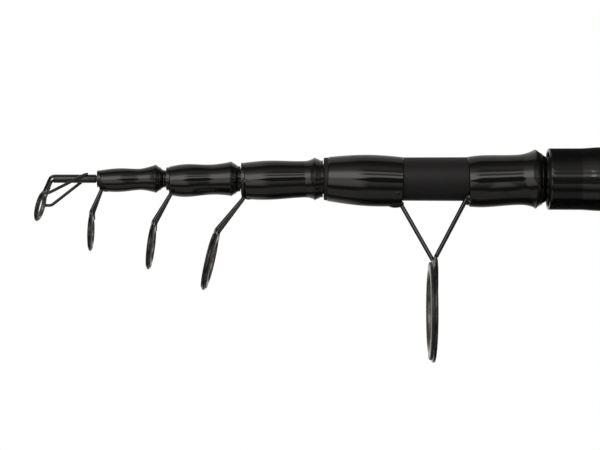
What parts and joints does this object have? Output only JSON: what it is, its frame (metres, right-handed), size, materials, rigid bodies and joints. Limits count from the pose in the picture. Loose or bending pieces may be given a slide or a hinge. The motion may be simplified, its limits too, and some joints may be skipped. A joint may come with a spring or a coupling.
{
  "type": "telescopic fishing rod",
  "caption": "Closed telescopic fishing rod: nested tapered sections with ceramic-lined wire guides, a screw reel seat, foam grips and a screw-on butt cap.",
  "frame": {"origin": "centre of the butt end's face, on the rod's axis", "axes": "+X runs along the rod out of its butt end, so the tip points to -X; the line guides hang towards -Z; Y is across the rod"},
  "size_m": [0.6836, 0.0328, 0.075],
  "materials": {
    "lacquer": "high-gloss black lacquer over thread whipping",
    "gloss_blank": "clear-coated black carbon composite",
    "matt_blank": "matt charcoal carbon composite",
    "guide_wire": "gloss black coating on stainless wire",
    "shock_ring": "satin black",
    "ring_ceramic": "polished dark grey ceramic",
    "grip_foam": "closed-cell foam",
    "trim_metal": "dark anodised",
    "hood_steel": "dark satin",
    "seat_plastic": "satin black moulding",
    "arbor_plastic": "plain",
    "pad_rubber": "matt"
  },
  "bodies": {
    "butt": {"butt_blank": "gloss_blank", "mouth_ring": "lacquer", "butt_whipping": "lacquer", "fore_check": "trim_metal", "foregrip": "grip_foam", "reel_seat": "seat_plastic", "seat_arbor": "arbor_plastic", "fixed_hood": "hood_steel", "rear_check": "trim_metal", "rear_grip": "grip_foam", "butt_ferrule": "trim_metal"},
    "section_5": {"section_5_blank": "matt_blank", "section_5_front_sleeve": "lacquer", "section_5_rear_sleeve": "lacquer", "section_5_stop": "lacquer", "guide_5_frame": "guide_wire", "guide_5_shock_ring": "shock_ring", "guide_5_ring": "ring_ceramic"},
    "section_4": {"section_4_blank": "gloss_blank", "section_4_sleeve": "lacquer", "section_4_stop": "lacquer", "guide_4_frame": "guide_wire", "guide_4_shock_ring": "shock_ring", "guide_4_ring": "ring_ceramic"},
    "section_3": {"section_3_blank": "gloss_blank", "section_3_sleeve": "lacquer", "section_3_stop": "lacquer", "guide_3_frame": "guide_wire", "guide_3_shock_ring": "shock_ring", "guide_3_ring": "ring_ceramic"},
    "section_2": {"section_2_blank": "gloss_blank", "section_2_sleeve": "lacquer", "section_2_stop": "lacquer", "guide_2_frame": "guide_wire", "guide_2_shock_ring": "shock_ring", "guide_2_ring": "ring_ceramic"},
    "tip": {"tip_blank": "gloss_blank", "tip_top_frame": "guide_wire", "tip_top_shock_ring": "shock_ring", "tip_top_ring": "ring_ceramic"},
    "hood": {"moving_hood": "hood_steel"},
    "nut": {"lock_nut": "seat_plastic"},
    "pad": {"butt_pad": "pad_rubber"},
    "cap": {"butt_cap": "seat_plastic", "butt_bumper": "pad_rubber"}
  },
  "joints": [
    {"name": "section_5_slide", "type": "slide", "parent": "butt", "child": "section_5", "axis": [-1, 0, 0], "range_m": [0, 0.4148]},
    {"name": "section_4_slide", "type": "slide", "parent": "section_5", "child": "section_4", "axis": [-1, 0, 0], "range_m": [0, 0.4945]},
    {"name": "section_3_slide", "type": "slide", "parent": "section_4", "child": "section_3", "axis": [-1, 0, 0], "range_m": [0, 0.5279]},
    {"name": "section_2_slide", "type": "slide", "parent": "section_3", "child": "section_2", "axis": [-1, 0, 0], "range_m": [0, 0.5588]},
    {"name": "tip_slide", "type": "slide", "parent": "section_2", "child": "tip", "axis": [-1, 0, 0], "range_m": [0, 0.5869]},
    {"name": "hood_slide", "type": "slide", "parent": "butt", "child": "hood", "axis": [1, 0, 0], "range_m": [0, 0.0201]},
    {"name": "nut_turn", "type": "hinge", "parent": "hood", "child": "nut", "pos_m": [-0.3148, 0, 0], "axis": [1, 0, 0], "range_deg": [0, 2880]},
    {"name": "pad_slide", "type": "slide", "parent": "butt", "child": "pad", "axis": [1, 0, 0], "range_m": [0, 0.0141]},
    {"name": "cap_turn", "type": "hinge", "parent": "pad", "child": "cap", "pos_m": [-0.009, 0, 0], "axis": [1, 0, 0], "range_deg": [0, 3360]}
  ],
  "couplings": [
    {"joint": "hood_slide", "follows": "nut_turn", "m_per_rad": 0.00039789},
    {"joint": "pad_slide", "follows": "cap_turn", "m_per_rad": 0.00023873}
  ]
}
